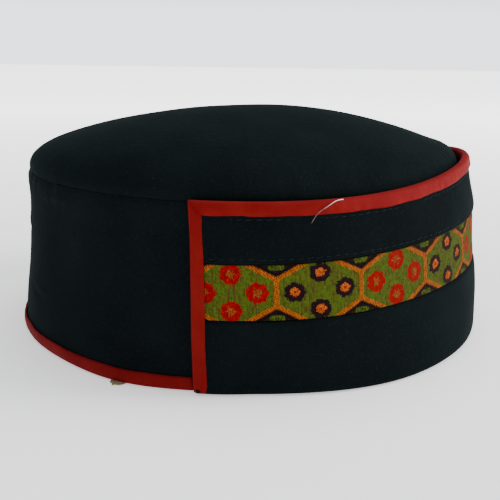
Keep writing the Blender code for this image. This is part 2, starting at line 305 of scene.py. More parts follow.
def startMaterial(name, roughness, sheen=0.0, sheenTint=(1, 1, 1, 1), specular=0.3):
    material = bpy.data.materials.new(name)
    material.use_nodes = True
    tree = material.node_tree
    shader = tree.nodes["Principled BSDF"]
    shader.inputs["Roughness"].default_value = roughness
    shader.inputs["Sheen Weight"].default_value = sheen
    shader.inputs["Sheen Roughness"].default_value = 0.45
    shader.inputs["Sheen Tint"].default_value = sheenTint
    shader.inputs["Specular IOR Level"].default_value = specular
    return material, tree, shader


# Two colours mixed by a noise on the piece's own place
def noiseMix(tree, places, scale, detail, first, second, low=0.35, high=0.65):
    noise = addNode(tree, "ShaderNodeTexNoise", {"Scale": scale, "Detail": detail})
    ramp = addNode(tree, "ShaderNodeMapRange", {"From Min": low, "From Max": high})
    mix = addNode(tree, "ShaderNodeMix", data_type="RGBA")
    tree.links.new(places, noise.inputs["Vector"])
    tree.links.new(noise.outputs["Fac"], ramp.inputs["Value"])
    tree.links.new(ramp.outputs["Result"], mix.inputs["Factor"])
    for socket, value in ((mix.inputs[6], first), (mix.inputs[7], second)):
        if isinstance(value, tuple):
            socket.default_value = value
        else:
            tree.links.new(value, socket)
    return mix.outputs[2], noise.outputs["Fac"]


# Bumps stacked one on another, each a height, a strength and a distance in metres
def stackBumps(tree, shader, heights):
    below = None
    for height, strength, distance in heights:
        bump = addNode(tree, "ShaderNodeBump", {"Strength": strength, "Distance": distance})
        tree.links.new(height, bump.inputs["Height"])
        if below is not None:
            tree.links.new(below, bump.inputs["Normal"])
        below = bump.outputs["Normal"]
    tree.links.new(below, shader.inputs["Normal"])


# Slanted ribs of a twill, on the cloth's UV map in metres
def twill(tree, pitch, slant):
    uv = addNode(tree, "ShaderNodeUVMap", uv_map="cloth")
    turn = addNode(tree, "ShaderNodeMapping", {"Rotation": (0, 0, np.radians(slant))})
    wave = addNode(tree, "ShaderNodeTexWave",
                   {"Scale": 0.314 / pitch, "Distortion": 1.4, "Detail": 1.0, "Detail Scale": 2.0})
    tree.links.new(uv.outputs["UV"], turn.inputs["Vector"])
    tree.links.new(turn.outputs["Vector"], wave.inputs["Vector"])
    return wave.outputs["Fac"]


# Felted wool: cloudy dark ground, paler fibres, nap and a faint twill under it
def woolMaterial(name, dark, pale, fibre, slant):
    material, tree, shader = startMaterial(name, 0.92, wool["sheen"], wool["sheenTint"], wool["specular"])
    place = addNode(tree, "ShaderNodeTexCoord").outputs["Object"]
    ground, _ = noiseMix(tree, place, 55, 3, dark, pale, 0.3, 0.7)
    speckled, fine = noiseMix(tree, place, 1700, 2, ground, fibre, 0.56, 0.80)
    tree.links.new(speckled, shader.inputs["Base Color"])
    nap = addNode(tree, "ShaderNodeTexNoise", {"Scale": 420, "Detail": 4, "Roughness": 0.6})
    tree.links.new(place, nap.inputs["Vector"])
    ribs = twill(tree, wool["twill"], slant)
    stackBumps(tree, shader, ((nap.outputs["Fac"], 0.4, 0.0005), (ribs, 0.08, 0.00012), (fine, 0.5, 0.0002)))
    return material


# The crown, wall, cuff and strip colours are one black wool set lighter or darker per piece to stand in for
# the light each gets: the crown and the strip are set darker than the wall and the cuff, as painted shade.
wool = {
    "sheen": 0.012, "sheenTint": (0.25, 0.70, 0.70, 1), "specular": 0.02, "twill": 0.0009,
    "crownDark": (0.0030, 0.0047, 0.0050, 1), "crownPale": (0.0045, 0.0070, 0.0074, 1),
    "wallDark": (0.0034, 0.0049, 0.0056, 1), "wallPale": (0.0047, 0.0069, 0.0080, 1),
    "cuffDark": (0.0034, 0.0052, 0.0058, 1), "cuffPale": (0.0046, 0.0070, 0.0078, 1),
    "stripDark": (0.0029, 0.0042, 0.0047, 1), "stripPale": (0.0039, 0.0059, 0.0066, 1),
    "fibre": (0.009, 0.015, 0.016, 1),
}
crownWool = woolMaterial("crown wool cloth", wool["crownDark"], wool["crownPale"], wool["fibre"], 45)
wallWool = woolMaterial("wall wool cloth", wool["wallDark"], wool["wallPale"], wool["fibre"], 45)
cuffWool = woolMaterial("cuff wool cloth", wool["cuffDark"], wool["cuffPale"], wool["fibre"], -45)
stripWool = woolMaterial("strip wool cloth", wool["stripDark"], wool["stripPale"], wool["fibre"], -45)


# Plain cotton: two crossing sets of fine ribs over a lightly faded ground
def cottonMaterial(name, deep, faded, pitch, sheen, bump):
    material, tree, shader = startMaterial(name, 0.72, sheen, deep, 0.05)
    place = addNode(tree, "ShaderNodeTexCoord").outputs["Object"]
    ground, _ = noiseMix(tree, place, 90, 4, deep, faded, 0.3, 0.75)
    tree.links.new(ground, shader.inputs["Base Color"])
    crease = addNode(tree, "ShaderNodeTexNoise", {"Scale": 240, "Detail": 3})
    tree.links.new(place, crease.inputs["Vector"])
    warp, weft = twill(tree, pitch, 3), twill(tree, pitch, 93)
    stackBumps(tree, shader, ((crease.outputs["Fac"], bump, 0.0008),
                              (warp, 0.25, 0.00012), (weft, 0.25, 0.00012)))
    return material


# The cuff binding and the hem binding are one red cotton in two copies set to stand in for how light falls on
# them: the cuff binding is set lighter, as painted light, and the hem binding darker, as painted shade.
cotton = {
    "topDeep": (0.150, 0.0030, 0.0040, 1), "topFaded": (0.200, 0.0075, 0.0070, 1),
    "hemDeep": (0.130, 0.0026, 0.0034, 1), "hemFaded": (0.170, 0.0055, 0.0060, 1),
    "lining": screenColour(132, 112, 84), "liningFaded": screenColour(156, 138, 108),
}
cuffBindingCloth = cottonMaterial("cuff binding cotton", cotton["topDeep"], cotton["topFaded"],
                                  0.00045, 0.02, 0.40)
hemBindingCloth = cottonMaterial("hem binding cotton", cotton["hemDeep"], cotton["hemFaded"],
                                 0.00045, 0.02, 0.40)
liningCloth = cottonMaterial("lining cotton", cotton["lining"], cotton["liningFaded"], 0.0005, 0.0, 0.3)
print("cloths made")


# Crown panel
crown = {
    "edgeRise": 0.0021, "shoulderRise": 0.0072, "domeRise": 0.0168, "domeLean": 0.0031,
    "overhang": 0.0003, "tuck": 0.00022, "frontOverhang": 0.0006, "frontFill": 0.0008, "frontSquare": 28,
    "lump": 0.00010, "lumpLength": 0.045, "gather": 0.00005, "gatherLength": 0.0085, "gatherReach": 0.009,
    "columns": 320,
}


# Height over the seam: edge, a shoulder that falls off as the root of one less the share to the
# twelfth power (a far higher power at the front, where a bell near the edge is added), and a
# parabola that leans to the front
def crownPoint(angle, share):
    narrowed = 1 - (1 - pinch(angle, cap["seamSide"])) * share ** 2
    front = frontShare(angle) ** 2
    x = share * (cap["upperWidth"] / 2 + crown["overhang"]) * narrowed * np.sin(angle)
    halfLength = cap["upperLength"] / 2 + crown["overhang"] + crown["frontOverhang"] * front
    y = cap["upperSetback"] - share * halfLength * np.cos(angle)
    dome = 1 - share ** 2
    shoulder = np.sqrt(np.maximum(1 - share ** (12 + crown["frontSquare"] * front), 0))
    fill = crown["frontFill"] * front * np.exp(-((share - 0.95) / 0.05) ** 2) * shoulder
    rise = crown["edgeRise"] + crown["shoulderRise"] * shoulder + crown["domeRise"] * dome + fill
    tilt = (crown["domeLean"] * dome - cap["seamTilt"]) * share * np.cos(angle)
    return np.stack([x, y + 0 * x, cap["seamSide"] + rise + tilt], -1)


def makeCrown():
    angle = np.linspace(0, 2 * np.pi, crown["columns"], endpoint=False)[None]
    turn = np.linspace(np.arcsin(0.8 ** 6), np.pi / 2, 26)[:, None]
    share = np.concatenate([np.linspace(0.02, 0.78, 34)[:, None], np.sin(turn) ** (1 / 6)])
    outer = crownPoint(angle, share + 0 * angle)
    reach = (1 - share) * cap["radius"]
    gathers = waver(angle * cap["radius"] + 0.5, crown["gatherLength"], 5) * crown["gather"]
    gathers = gathers * np.exp(-(reach / crown["gatherReach"]) ** 2)
    lumps = ripple(outer, crown["lumpLength"], 3) * crown["lump"]
    outer[..., 2] += lumps * smoothStep(reach / 0.02) + gathers * 0.7
    outward = np.stack([np.sin(angle), -np.cos(angle)], -1)
    outer[..., :2] += outward * (gathers * smoothStep(share * 4 - 3))[..., None]
    # The edge curls in under the shoulder to the seam, as a quarter turn
    curl = np.linspace(0, 1, 10)[1:, None]
    rim = outer[-1][None]
    foot = seamHeight(angle)[..., None] + 0.00004
    edge = np.repeat(rim, len(curl), 0)
    edge[..., 2] = (rim[..., 2:] * (1 - curl[..., None]) + foot * curl[..., None])[..., 0]
    edge[..., :2] -= outward * (crown["tuck"] * curl ** 2.5)[..., None]
    thick = cap["crownCloth"]
    inner = np.concatenate([outer, edge])[::-1].copy()
    inner[..., :2] -= inner[..., :2] * thick / cap["radius"]
    inner[..., 2] -= thick * smoothStep(np.linspace(0, 9, len(inner)))[:, None]
    grid = np.concatenate([outer, edge, inner])
    top = crownPoint(np.zeros(1), np.zeros(1))[0]
    flat = np.concatenate([grid, grid[:, :1]], 1)[..., :2]
    uvMap = np.concatenate([flat, flat[:1]])
    lined = np.arange(len(grid) - 1) >= len(outer) + len(edge)
    piece = gridPiece("crownTop", grid, [crownWool, liningCloth], uvMap, closeColumns=True,
                      poles=np.array([top, top - [0, 0, thick]]), rowFinish=lined)
    return piece, np.concatenate([outer, edge])


crownTop, crownFace = makeCrown()
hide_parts("crown_top")
print("crown made")

# Side wall
wall = {
    "foot": 0.0026, "bulge": 0.0010, "tuck": 0.0004, "columns": 400,
    "lump": 0.00018, "lumpLength": 0.034, "pucker": 0.00013, "puckerLength": 0.0090, "puckerReach": 0.006,
    # angle in degrees and height at both ends, depth and half width
    "creases": ((-156.0, 0.0215, -143.5, 0.0185, 0.00045, 0.0014),
                (-142.5, 0.0080, -131.0, 0.0135, 0.00040, 0.0012),
                (-145.5, 0.0560, -133.5, 0.0585, 0.00040, 0.0011),
                (-139.5, 0.0520, -136.5, 0.0580, 0.00030, 0.0013),
                (150.0, 0.0180, 163.0, 0.0230, 0.00045, 0.0016),
                (118.0, 0.0400, 131.0, 0.0440, 0.00035, 0.0018),
                (-170.0, 0.0420, -158.0, 0.0400, 0.00030, 0.0018)),
}


# A valley along each crease with a low ridge beside it, both bells across its line
def creaseDepth(angle, height):
    arc = angle * cap["radius"]
    total = 0 * arc
    halfTurn = np.pi * cap["radius"]
    for angleA, heightA, angleB, heightB, depth, width in wall["creases"]:
        start = np.array([np.radians(angleA) * cap["radius"], heightA])
        run = np.array([np.radians(angleB) * cap["radius"], heightB]) - start
        length = np.linalg.norm(run)
        run /= length
        arcFrom = (arc - start[0] + halfTurn) % (2 * halfTurn) - halfTurn
        along = (arcFrom * run[0] + (height - start[1]) * run[1]) / length
        across = (height - start[1]) * run[0] - arcFrom * run[1]
        fade = smoothStep(1.5 - 1.5 * abs(2 * along - 1))
        valley = np.exp(-(across / width) ** 2)
        ridge = 0.7 * np.exp(-((across - 2 * width) / width) ** 2)
        total += fade * depth * (valley - ridge)
    return total


def makeWall():
    angle = np.linspace(-np.pi, np.pi, wall["columns"], endpoint=False)[None]
    level = np.concatenate([np.linspace(0, 0.9, 46), np.linspace(0.9, 1, 16)[1:]])[:, None]
    height = wall["foot"] + (seamHeight(angle) - wall["foot"]) * level
    under = seamHeight(angle) - height
    bulge = wall["bulge"] * np.exp(-((level - 0.93) / 0.09) ** 2)
    tuck = wall["tuck"] * smoothStep((level - 0.97) / 0.03)
    base = drumPoint(angle, height, 0)
    relief = ripple(base, wall["lumpLength"], 11) * wall["lump"] * smoothStep(under / 0.01)
    puckers = waver(angle * cap["radius"] + 0.5, wall["puckerLength"], 8) * wall["pucker"]
    relief = relief + puckers * np.exp(-(under / wall["puckerReach"]) ** 2)
    behind = smoothStep((abs(angle) - cap["endLower"]) * cap["radius"] / 0.006)  # smooth under the cuff
    relief = relief - creaseDepth(angle + 0 * height, height)
    relief = relief * behind * smoothStep((height - 0.006) / 0.006)
    outer = drumPoint(angle, height, bulge - tuck + relief)
    inner = drumPoint(angle, height, bulge - tuck - cap["wallCloth"] + 0.5 * relief)[::-1]
    grid = np.concatenate([outer, inner])
    lined = np.arange(len(grid)) >= len(outer)
    piece = gridPiece("sideWall", grid, [wallWool, liningCloth], closeRows=True, closeColumns=True,
                      rowFinish=lined)
    return piece, outer


sideWall, wallFace = makeWall()
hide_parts("side_wall")
print("side wall made")

# Turned-up front cuff
cuff = {
    "fold": 0.0020, "puff": 0.00025, "edgeRound": 0.0011,
    "lump": 0.00014, "lumpLength": 0.026, "columns": 330,
}


def cuffShares(count):
    return np.sort(np.concatenate([np.linspace(-1, 1, count), [-0.975, -0.970, 0.970, 0.975]]))


# J-shaped section: flat under the wall, a rounded fold, the panel's face, a step to the thin
# backing behind the band, and the inner face down again
def makeCuff():
    share = cuffShares(cuff["columns"])[None]
    middle = cuffAngle(share, cap["cuffSide"] / 2, cap["setback"])
    cloth, radius = cap["cuffCloth"], cuff["fold"]
    inside = (1 - abs(share)) * endAngle(0.03) * cap["radius"]
    folded = smoothStep((inside - cap["bindingWidth"] + 0.0002) / 0.0008)
    tip = folded * (-cap["wallCloth"] - cuffGap(middle, 0 * middle)) + (1 - folded) * cap["clear"] / 3
    edge = bandFoot(middle) - cap["clear"]
    top = cuffHeight(middle) - cap["setback"]
    flat = np.linspace(0, 1, 7)[:, None]
    turn = np.linspace(0, np.pi / 2, 10)[1:, None]
    rise = np.linspace(0, 1, 34)[1:, None]
    back = np.linspace(0, 1, 16)[:, None]
    rimRound = cuff["edgeRound"]
    panelHeight = radius + (edge - radius) * rise
    fromEdge = edge - panelHeight
    rolled = 0.0008 * (1 - np.sqrt(np.clip(1 - np.clip(1 - fromEdge / rimRound, 0, 1) ** 2, 0, 1)))
    puff = cuff["puff"] * np.sin(np.pi * np.clip(rise, 0, 1)) ** 0.7
    backHeight = edge + (top - edge) * back
    heights = [0 * share + 0 * flat, radius * (1 - np.cos(turn)) + 0 * share, panelHeight,
               backHeight, backHeight[::-1],
               panelHeight[:-1][::-1], cloth + 0 * share + 0 * flat]
    outwards = [tip + (cloth - radius - tip) * flat, cloth - radius + radius * np.sin(turn) + 0 * share,
                cloth + puff - rolled, cap["backing"] + 0 * backHeight, 0 * backHeight,
                0 * panelHeight[:-1], tip * flat]
    height, outward = np.concatenate(heights), np.concatenate(outwards)
    angle = cuffAngle(share, height, cap["setback"])
    face = smoothStep((outward - cap["backing"]) / 0.001) * smoothStep(height / 0.003)
    outward = outward + ripple(onCuff(angle, height, outward), cuff["lumpLength"], 21) * cuff["lump"] * face
    grid = onCuff(angle, height, outward)
    shown = slice(len(flat) + 2, len(flat) + len(turn) + len(rise) - 3)
    return gridPiece("frontCuff", grid, [cuffWool], closeRows=True, caps=True), grid[shown]


frontCuff, cuffFace = makeCuff()
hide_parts("front_cuff")
print("cuff made")

# Dark strip above the band, with a sunk line along each row of stitches
strip = {
    "columns": 330, "puff": 0.00030, "edgeRound": 0.0009, "lump": 0.00012, "lumpLength": 0.022,
    "stitchUp": 0.0016, "stitchDown": 0.0012, "dip": 0.00022, "dipWidth": 0.0006,
    "stitchLength": 0.0021, "stitchPitch": 0.0031, "stitchRadius": 0.00011,
}


def stitchLines(angle):
    low = stripFoot(angle) + strip["stitchUp"]
    high = cuffHeight(angle) - cap["bindingWidth"] - strip["stitchDown"]
    return low, high


def stripDip(angle, height):
    low, high = stitchLines(angle)
    width = strip["dipWidth"]
    return strip["dip"] * (np.exp(-((height - low) / width) ** 2) + np.exp(-((height - high) / width) ** 2))


def makeStrip():
    share = cuffShares(strip["columns"])[None]
    middle = cuffAngle(share, cap["cuffSide"] / 2, cap["setback"])
    rise = np.concatenate([[0, 0.006, 0.016, 0.03, 0.05], np.linspace(0.07, 1, 44)])[:, None]
    foot, top = stripFoot(middle), cuffHeight(middle) - cap["setback"]
    height = foot + (top - foot) * rise
    angle = cuffAngle(share, height, cap["setback"])
    fromEdge = height - foot
    rolled = 0.0007 * (1 - np.sqrt(np.clip(1 - np.clip(1 - fromEdge / strip["edgeRound"], 0, 1) ** 2, 0, 1)))
    face = cap["cuffCloth"] + strip["puff"] * np.sin(np.pi * rise) ** 0.7 - rolled - stripDip(angle, height)
    covered = smoothStep((cuffHeight(middle) - height - cap["bindingWidth"]) / 0.001)
    lumps = ripple(onCuff(angle, height, face), strip["lumpLength"], 31) * strip["lump"]
    face = face + lumps * covered * smoothStep(fromEdge / 0.002)
    outer = onCuff(angle, height, face)
    inner = onCuff(angle, height, cap["backing"] + cap["clear"])[::-1]
    piece = gridPiece("upperStrip", np.concatenate([outer, inner]), [stripWool], closeRows=True, caps=True)
    return piece, outer


upperStrip, stripFace = makeStrip()
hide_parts("upper_strip")
print("upper strip made")

# Woven band: hexagons outlined in orange rope, four flowers in each, on ribbed green
band = {
    "pitch": 30.65, "firstBar": 10.2, "half": 9.35,  # millimetres along the band and up it
    "rib": 0.36, "row": 0.42,
    "barHalf": 0.92, "barReach": 5.0, "forkHeight": 4.6, "forkRun": 9.2, "ropeHalf": 0.84, "ropePitch": 0.95,
    "flowers": ((-9.0, 0.0), (9.0, 0.0), (0.0, -6.25), (0.0, 6.25)), "petal": 3.75, "heart": 1.75,
    "ribHeight": 0.00007, "ropeHeight": 0.00018,
}
# Yarn colours, in the order that the pattern numbers them
yarns = np.array([screenColour(*reading)[:3] for reading in (
    (74, 92, 22), (76, 66, 22), (166, 92, 24), (114, 44, 14), (146, 8, 10), (122, 7, 10),
    (120, 84, 30), (36, 11, 21), (186, 86, 28), (42, 25, 13), (13, 10, 11))])


# Random numbers, the same over each rib's two columns and over a few rows
def ribNoise(rng, shape, rowsEach):
    few = rng.random((shape[0] // rowsEach + 1, shape[1] // 2 + 1))
    return few.repeat(rowsEach, 0).repeat(2, 1)[:shape[0], :shape[1]]


# Yarn number at a place along and up the band: distance to the nearest bar, to the slanted rope
# that forks from it, and to the nearest flower's middle, each compared with a set width
def bandYarn(along, up):
    rng = np.random.default_rng(4)
    cell = np.floor((along - band["firstBar"]) / band["pitch"])
    fromBar = along - band["firstBar"] - band["pitch"] * np.round((along - band["firstBar"]) / band["pitch"])
    fromMiddle = along - band["firstBar"] - band["pitch"] * (cell + 0.5)
    red = cell % 2 == 1
    yarn = np.where((ribNoise(rng, along.shape, 5) < 0.24) | (rng.random(along.shape) < 0.12), 1, 0)
    rough = (ribNoise(rng, along.shape, 1) - 0.5) * 0.75
    nearest = np.full(along.shape, 99.0)
    turn = np.zeros(along.shape)
    for x, y in band["flowers"]:
        reach = np.hypot(fromMiddle - x, (up - y) * np.where(red, 1.03, 1.12))
        turn = np.where(reach < nearest, np.arctan2(up - y, fromMiddle - x), turn)
        nearest = np.minimum(reach, nearest)
    petal = band["petal"] + 0.16 * np.cos(7 * turn + 0.5) + rough
    ring = nearest < petal
    heart = nearest < band["heart"] * np.where(red, 0.75, 1.0) + 0.12 * np.cos(5 * turn) + rough * 0.8
    spoke = (abs(np.sin(3 * turn)) < 0.24) & (nearest < 2.2)
    middle = nearest < 0.4
    yarn = np.where(ring & red, np.where(rng.random(along.shape) < 0.2, 5, 4), yarn)
    yarn = np.where(ring & red & spoke & (rng.random(along.shape) < 0.4), 6, yarn)
    yarn = np.where(ring & ~red, np.where(rng.random(along.shape) < 0.35, 10, 7), yarn)
    yarn = np.where(heart & red, np.where(rng.random(along.shape) < 0.4, 4, 6), yarn)
    yarn = np.where(heart & ~red, np.where((rng.random(along.shape) < 0.25) | middle, 3, 8), yarn)
    slope = (band["half"] - band["forkHeight"]) / band["forkRun"]
    above = (abs(up) - band["forkHeight"] - slope * abs(fromBar)) / np.hypot(1, slope)
    rope = abs(above) < band["ropeHalf"]
    twist = ((up * np.sign(fromBar + 1e-9) + abs(fromBar) * 0.9) / band["ropePitch"]) % 1 < 0.36
    inner = np.where(rng.random(along.shape) < 0.45, 10, 9)
    sprig = (abs(up) > band["half"] - 1.7) & (abs(fromBar) < 2.8)
    inner = np.where(sprig & (rng.random(along.shape) < 0.7), 0, inner)
    yarn = np.where(above > band["ropeHalf"], np.where(above > band["ropeHalf"] + 1.0, inner, 10), yarn)
    yarn = np.where(rope, np.where(twist | (above > 0.55), 3, 2), yarn)
    bar = (abs(fromBar) < band["barHalf"]) & (abs(up) < band["barReach"])
    twist = ((up + abs(fromBar) * 0.9) / band["ropePitch"]) % 1 < 0.36
    yarn = np.where(bar, np.where(twist, 3, 2), yarn)
    return yarn


# Band cloth: the yarn colours with a worn ground and thread bumps
def bandMaterial():
    material, tree, shader = startMaterial("woven flower cloth", 0.80, 0.06, (1.0, 0.85, 0.4, 1), 0.05)
    place = addNode(tree, "ShaderNodeTexCoord").outputs["Object"]
    colour = addNode(tree, "ShaderNodeVertexColor", layer_name="yarn")
    noise = addNode(tree, "ShaderNodeTexNoise", {"Scale": 900, "Detail": 2})
    shade = addNode(tree, "ShaderNodeMapRange",
                    {"From Min": 0.3, "From Max": 0.7, "To Min": 0.75, "To Max": 1.2})
    mix = addNode(tree, "ShaderNodeVectorMath", operation="SCALE")
    tree.links.new(place, noise.inputs["Vector"])
    tree.links.new(noise.outputs["Fac"], shade.inputs["Value"])
    tree.links.new(colour.outputs["Color"], mix.inputs[0])
    tree.links.new(shade.outputs["Result"], mix.inputs["Scale"])
    tree.links.new(mix.outputs["Vector"], shader.inputs["Base Color"])
    stackBumps(tree, shader, ((noise.outputs["Fac"], 0.4, 0.0002),))
    return material


def makeBand():
    shareFine = np.linspace(-1, 1, 6001)
    middleHeight = bandFoot(shareFine * cap["endLower"]) + cap["bandHeight"] / 2
    outward = cap["backing"] + cap["clear"] + cap["bandCloth"]
    angleFine = cuffAngle(shareFine, middleHeight, cap["setback"])
    line = onCuff(angleFine, middleHeight, outward)
    length = np.concatenate([[0], np.cumsum(np.linalg.norm(np.diff(line, axis=0), axis=1))]) * 1000
    length -= np.interp(-np.pi / 2, angleFine, length)
    columns = int((length[-1] - length[0]) / band["rib"] * 2) + 1
    along = np.linspace(length[0], length[-1], columns)
    rows = int(2 * band["half"] / band["row"]) + 1
    up = np.linspace(-band["half"], band["half"], rows)[:, None]
    share = np.interp(along, length, shareFine)[None]
    middle = cuffAngle(share, cap["cuffSide"] / 2, cap["setback"])
    height = bandFoot(middle) + (up + band["half"]) / 1000
    angle = cuffAngle(share, height, cap["setback"])
    alongFace = (along[:-1] + along[1:])[None] / 2
    upFace = (up[:-1] + up[1:]) / 2
    ribFace = (np.floor(alongFace / band["rib"]) + 0.5) * band["rib"]
    yarn = bandYarn(ribFace + 0 * upFace, upFace + 0 * ribFace)
    raised = np.isin(yarn, (2, 3)).astype(float)
    raisedAt = np.zeros((rows, columns))
    raisedAt[1:-1, 1:-1] = (raised[1:, 1:] + raised[:-1, 1:] + raised[1:, :-1] + raised[:-1, :-1]) / 4
    relief = band["ribHeight"] * np.cos(2 * np.pi * along / band["rib"])[None] + band["ropeHeight"] * raisedAt
    outer = onCuff(angle, height, outward + relief)
    inner = onCuff(angle[[-1, 0]], height[[-1, 0]], cap["backing"] + cap["clear"])
    grid = np.concatenate([outer, inner])
    piece = gridPiece("patternedBand", grid, [bandMaterial()], closeRows=True, caps=True)
    rng = np.random.default_rng(9)
    # Painted shade: faces in each rib's valley are coloured darker (0.60 against 1.05 on the ridges), on top
    # of the ribs' own relief; the spread from 0.82 to 1.16 is random tone per face.
    valley = np.where(np.cos(2 * np.pi * alongFace / band["rib"]) > 0, 1.05, 0.60)
    shade = valley * rng.uniform(0.82, 1.16, yarn.shape)
    colour = np.ones((len(piece.data.loops), 4), np.float32)
    colour[:, :3] = yarns[1]
    faces = np.clip(yarns[yarn] * shade[..., None], 0, 1).reshape(-1, 1, 3)
    colour[:faces.shape[0] * 4, :3] = np.repeat(faces, 4, 1).reshape(-1, 3)
    layer = piece.data.color_attributes.new("yarn", "FLOAT_COLOR", "CORNER")
    layer.data.foreach_set("color", colour.ravel())
    return piece


patternedBand = makeBand()
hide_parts("patterned_band")
print("woven band made")

# Bindings: a fold of cotton rolled round the cloth's edge
binding = {
    "puff": 0.00020, "rollDepth": 0.0016, "lipDrop": 0.00030, "pucker": 0.00004, "puckerLength": 0.0048,
    "waver": 0.00006, "waverLength": 0.022, "mitreDepth": 0.00014, "mitreWidth": 0.0005, "lapStep": 0.00022,
    "uprightRows": 80, "topColumns": 520, "hemColumns": 260,
}


# Rolled section as pairs of inset from the edge and outward place: up the puffed outer face, round the
# edge as a flattened ellipse, down the inner face, and back inside the fold
def rolledSection(width, innerWidth, outer, inner):
    rise = np.linspace(0, 1, 18)[:-1]
    turn = np.linspace(0, np.pi, 27)
    deep = binding["rollDepth"]
    middle, half = (outer + inner) / 2, (outer - inner) / 2
    lip = binding["lipDrop"] * (1 - smoothStep(rise / 0.14))
    insetFace = width - (width - deep) * rise
    outFace = outer + binding["puff"] * np.sin(np.pi * rise) - lip
    insetRoll = deep * (1 - np.sin(turn) ** 0.8)
    outRoll = middle + half * np.sign(np.cos(turn)) * abs(np.cos(turn)) ** 0.8
    fall = np.linspace(0, 1, 9)[1:]
    insetBack = deep + (innerWidth - deep) * fall
    cloth = cap["bindingCloth"]
    insetIn = np.array([innerWidth, cloth * 1.6, cloth * 1.6, width])
    outIn = np.array([inner + cloth * 0.8, inner + cloth * 0.8, outer - cloth, outer - cloth])
    return (np.concatenate([insetFace, insetRoll, insetBack, insetIn])[:, None],
            np.concatenate([outFace, outRoll, 0 * fall + inner, outIn])[:, None])


def makeCuffBinding():
    outer = cap["cuffCloth"] + 0.0005
    inner = -0.0006
    inset, outward = rolledSection(cap["bindingWidth"], cap["innerWidth"], outer, inner)
    climb = np.linspace(0, 1, binding["uprightRows"])[None, :-1]
    share = np.linspace(-1, 1, binding["topColumns"])[None]
    cornerTop = cap["cuffSide"]
    uprightHeight = 0.0006 + climb * (cornerTop - inset - 0.0006)
    topAngleFirst = share * (endAngle(cornerTop - inset) - inset / cap["radius"])
    topHeight = cuffHeight(topAngleFirst) - inset
    height = np.concatenate([uprightHeight, topHeight, uprightHeight[:, ::-1]], 1)
    uprightAngle = endAngle(uprightHeight) - inset / cap["radius"]
    angle = np.concatenate([-uprightAngle, topAngleFirst, uprightAngle[:, ::-1]], 1)
    fromTop = cuffHeight(angle) - height
    fromEnd = (endAngle(height) - abs(angle)) * cap["radius"]
    upright = np.concatenate([0 * climb[0] + 1, 0 * share[0], 0 * climb[0] + 1])[None]
    run = np.where(upright > 0, -fromTop, abs(angle) * cap["radius"]) * np.sign(angle + 1e-9)
    shown = smoothStep((outward - 0.0012) / 0.001)
    pucker = waver(run, binding["puckerLength"], 41) * binding["pucker"]
    pucker = pucker * (0.4 + 0.6 * smoothStep(inset / cap["bindingWidth"] * 2 - 0.6))
    mitre = np.exp(-((fromEnd - fromTop) / binding["mitreWidth"]) ** 2) * binding["mitreDepth"]
    lap = binding["lapStep"] * upright * (1 - smoothStep((fromTop - 0.006) / 0.006))
    slack = waver(run, binding["waverLength"], 43) * binding["waver"]
    tucked = 0.0010 * upright * (1 - smoothStep(height / 0.0045))
    outward = outward + shown * (pucker - mitre + lap + slack - tucked)
    height = height + np.where(upright > 0, 0, -shown * slack * (inset / cap["bindingWidth"]))
    grid = onCuff(angle, height, outward)
    return gridPiece("cuffBinding", grid, [cuffBindingCloth], closeRows=True, caps=True)


cuffBinding = makeCuffBinding()
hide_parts("cuff_binding")


def makeHemBinding():
    outer = cap["clear"] + cap["bindingCloth"]
    inner = -cap["wallCloth"] - cap["clear"] - cap["bindingCloth"]
    height, outward = rolledSection(cap["hemWidth"], cap["hemWidth"], outer, inner)
    share = np.linspace(0, 1, binding["hemColumns"])[None]
    start = endAngle(height) + cap["clear"] / cap["radius"]
    angle = start + (2 * np.pi - 2 * start) * share
    run = angle * cap["radius"]
    shown = smoothStep((outward + 0.0004) / 0.001)
    pucker = waver(run, binding["puckerLength"], 51) * binding["pucker"]
    pucker = pucker + waver(run, binding["waverLength"], 53) * binding["waver"]
    slack = waver(run, binding["waverLength"], 55) * binding["waver"]
    height = height + 0 * angle + shown * slack * smoothStep(height / cap["hemWidth"])
    grid = drumPoint(angle, height, outward + pucker * shown * smoothStep(height / 0.002))
    return gridPiece("hemBinding", grid, [hemBindingCloth], closeRows=True, caps=True)


hemBinding = makeHemBinding()
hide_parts("hem_binding")
print("bindings made")


# Spun thread: twisted light and dark along its length
def threadMaterial(name, light, dark, roughness, sheen=0.02, specular=0.06):
    material, tree, shader = startMaterial(name, roughness, sheen, light, specular)
    place = addNode(tree, "ShaderNodeTexCoord").outputs["Object"]
    colour, height = noiseMix(tree, place, 1500, 3, dark, light, 0.35, 0.6)
    tree.links.new(colour, shader.inputs["Base Color"])
    stackBumps(tree, shader, ((height, 0.6, 0.0002),))
    return material


thread = {
    "seam": screenColour(34, 44, 48), "seamDark": screenColour(17, 23, 26),
    "loose": screenColour(128, 108, 104), "looseDark": screenColour(92, 76, 74),
    "looseTop": screenColour(236, 232, 230), "paleFrom": 0.0630, "paleTo": 0.0662,
    "lint": screenColour(86, 98, 102), "lintDark": screenColour(50, 58, 62),
    # angle in degrees, height and outward place of the loose end's path
    "path": ((-77.1, 0.05753, 0.0025), (-76.2, 0.05965, 0.0028),
             (-75.4, 0.06166, 0.0033), (-74.5, 0.06282, 0.0036),
             (-73.6, 0.06355, 0.0036), (-72.6, 0.06441, 0.0036),
             (-71.7, 0.06534, 0.0036), (-70.7, 0.06597, 0.0036), (-69.6, 0.06591, 0.0034)),
    "radius": 0.00012,
}


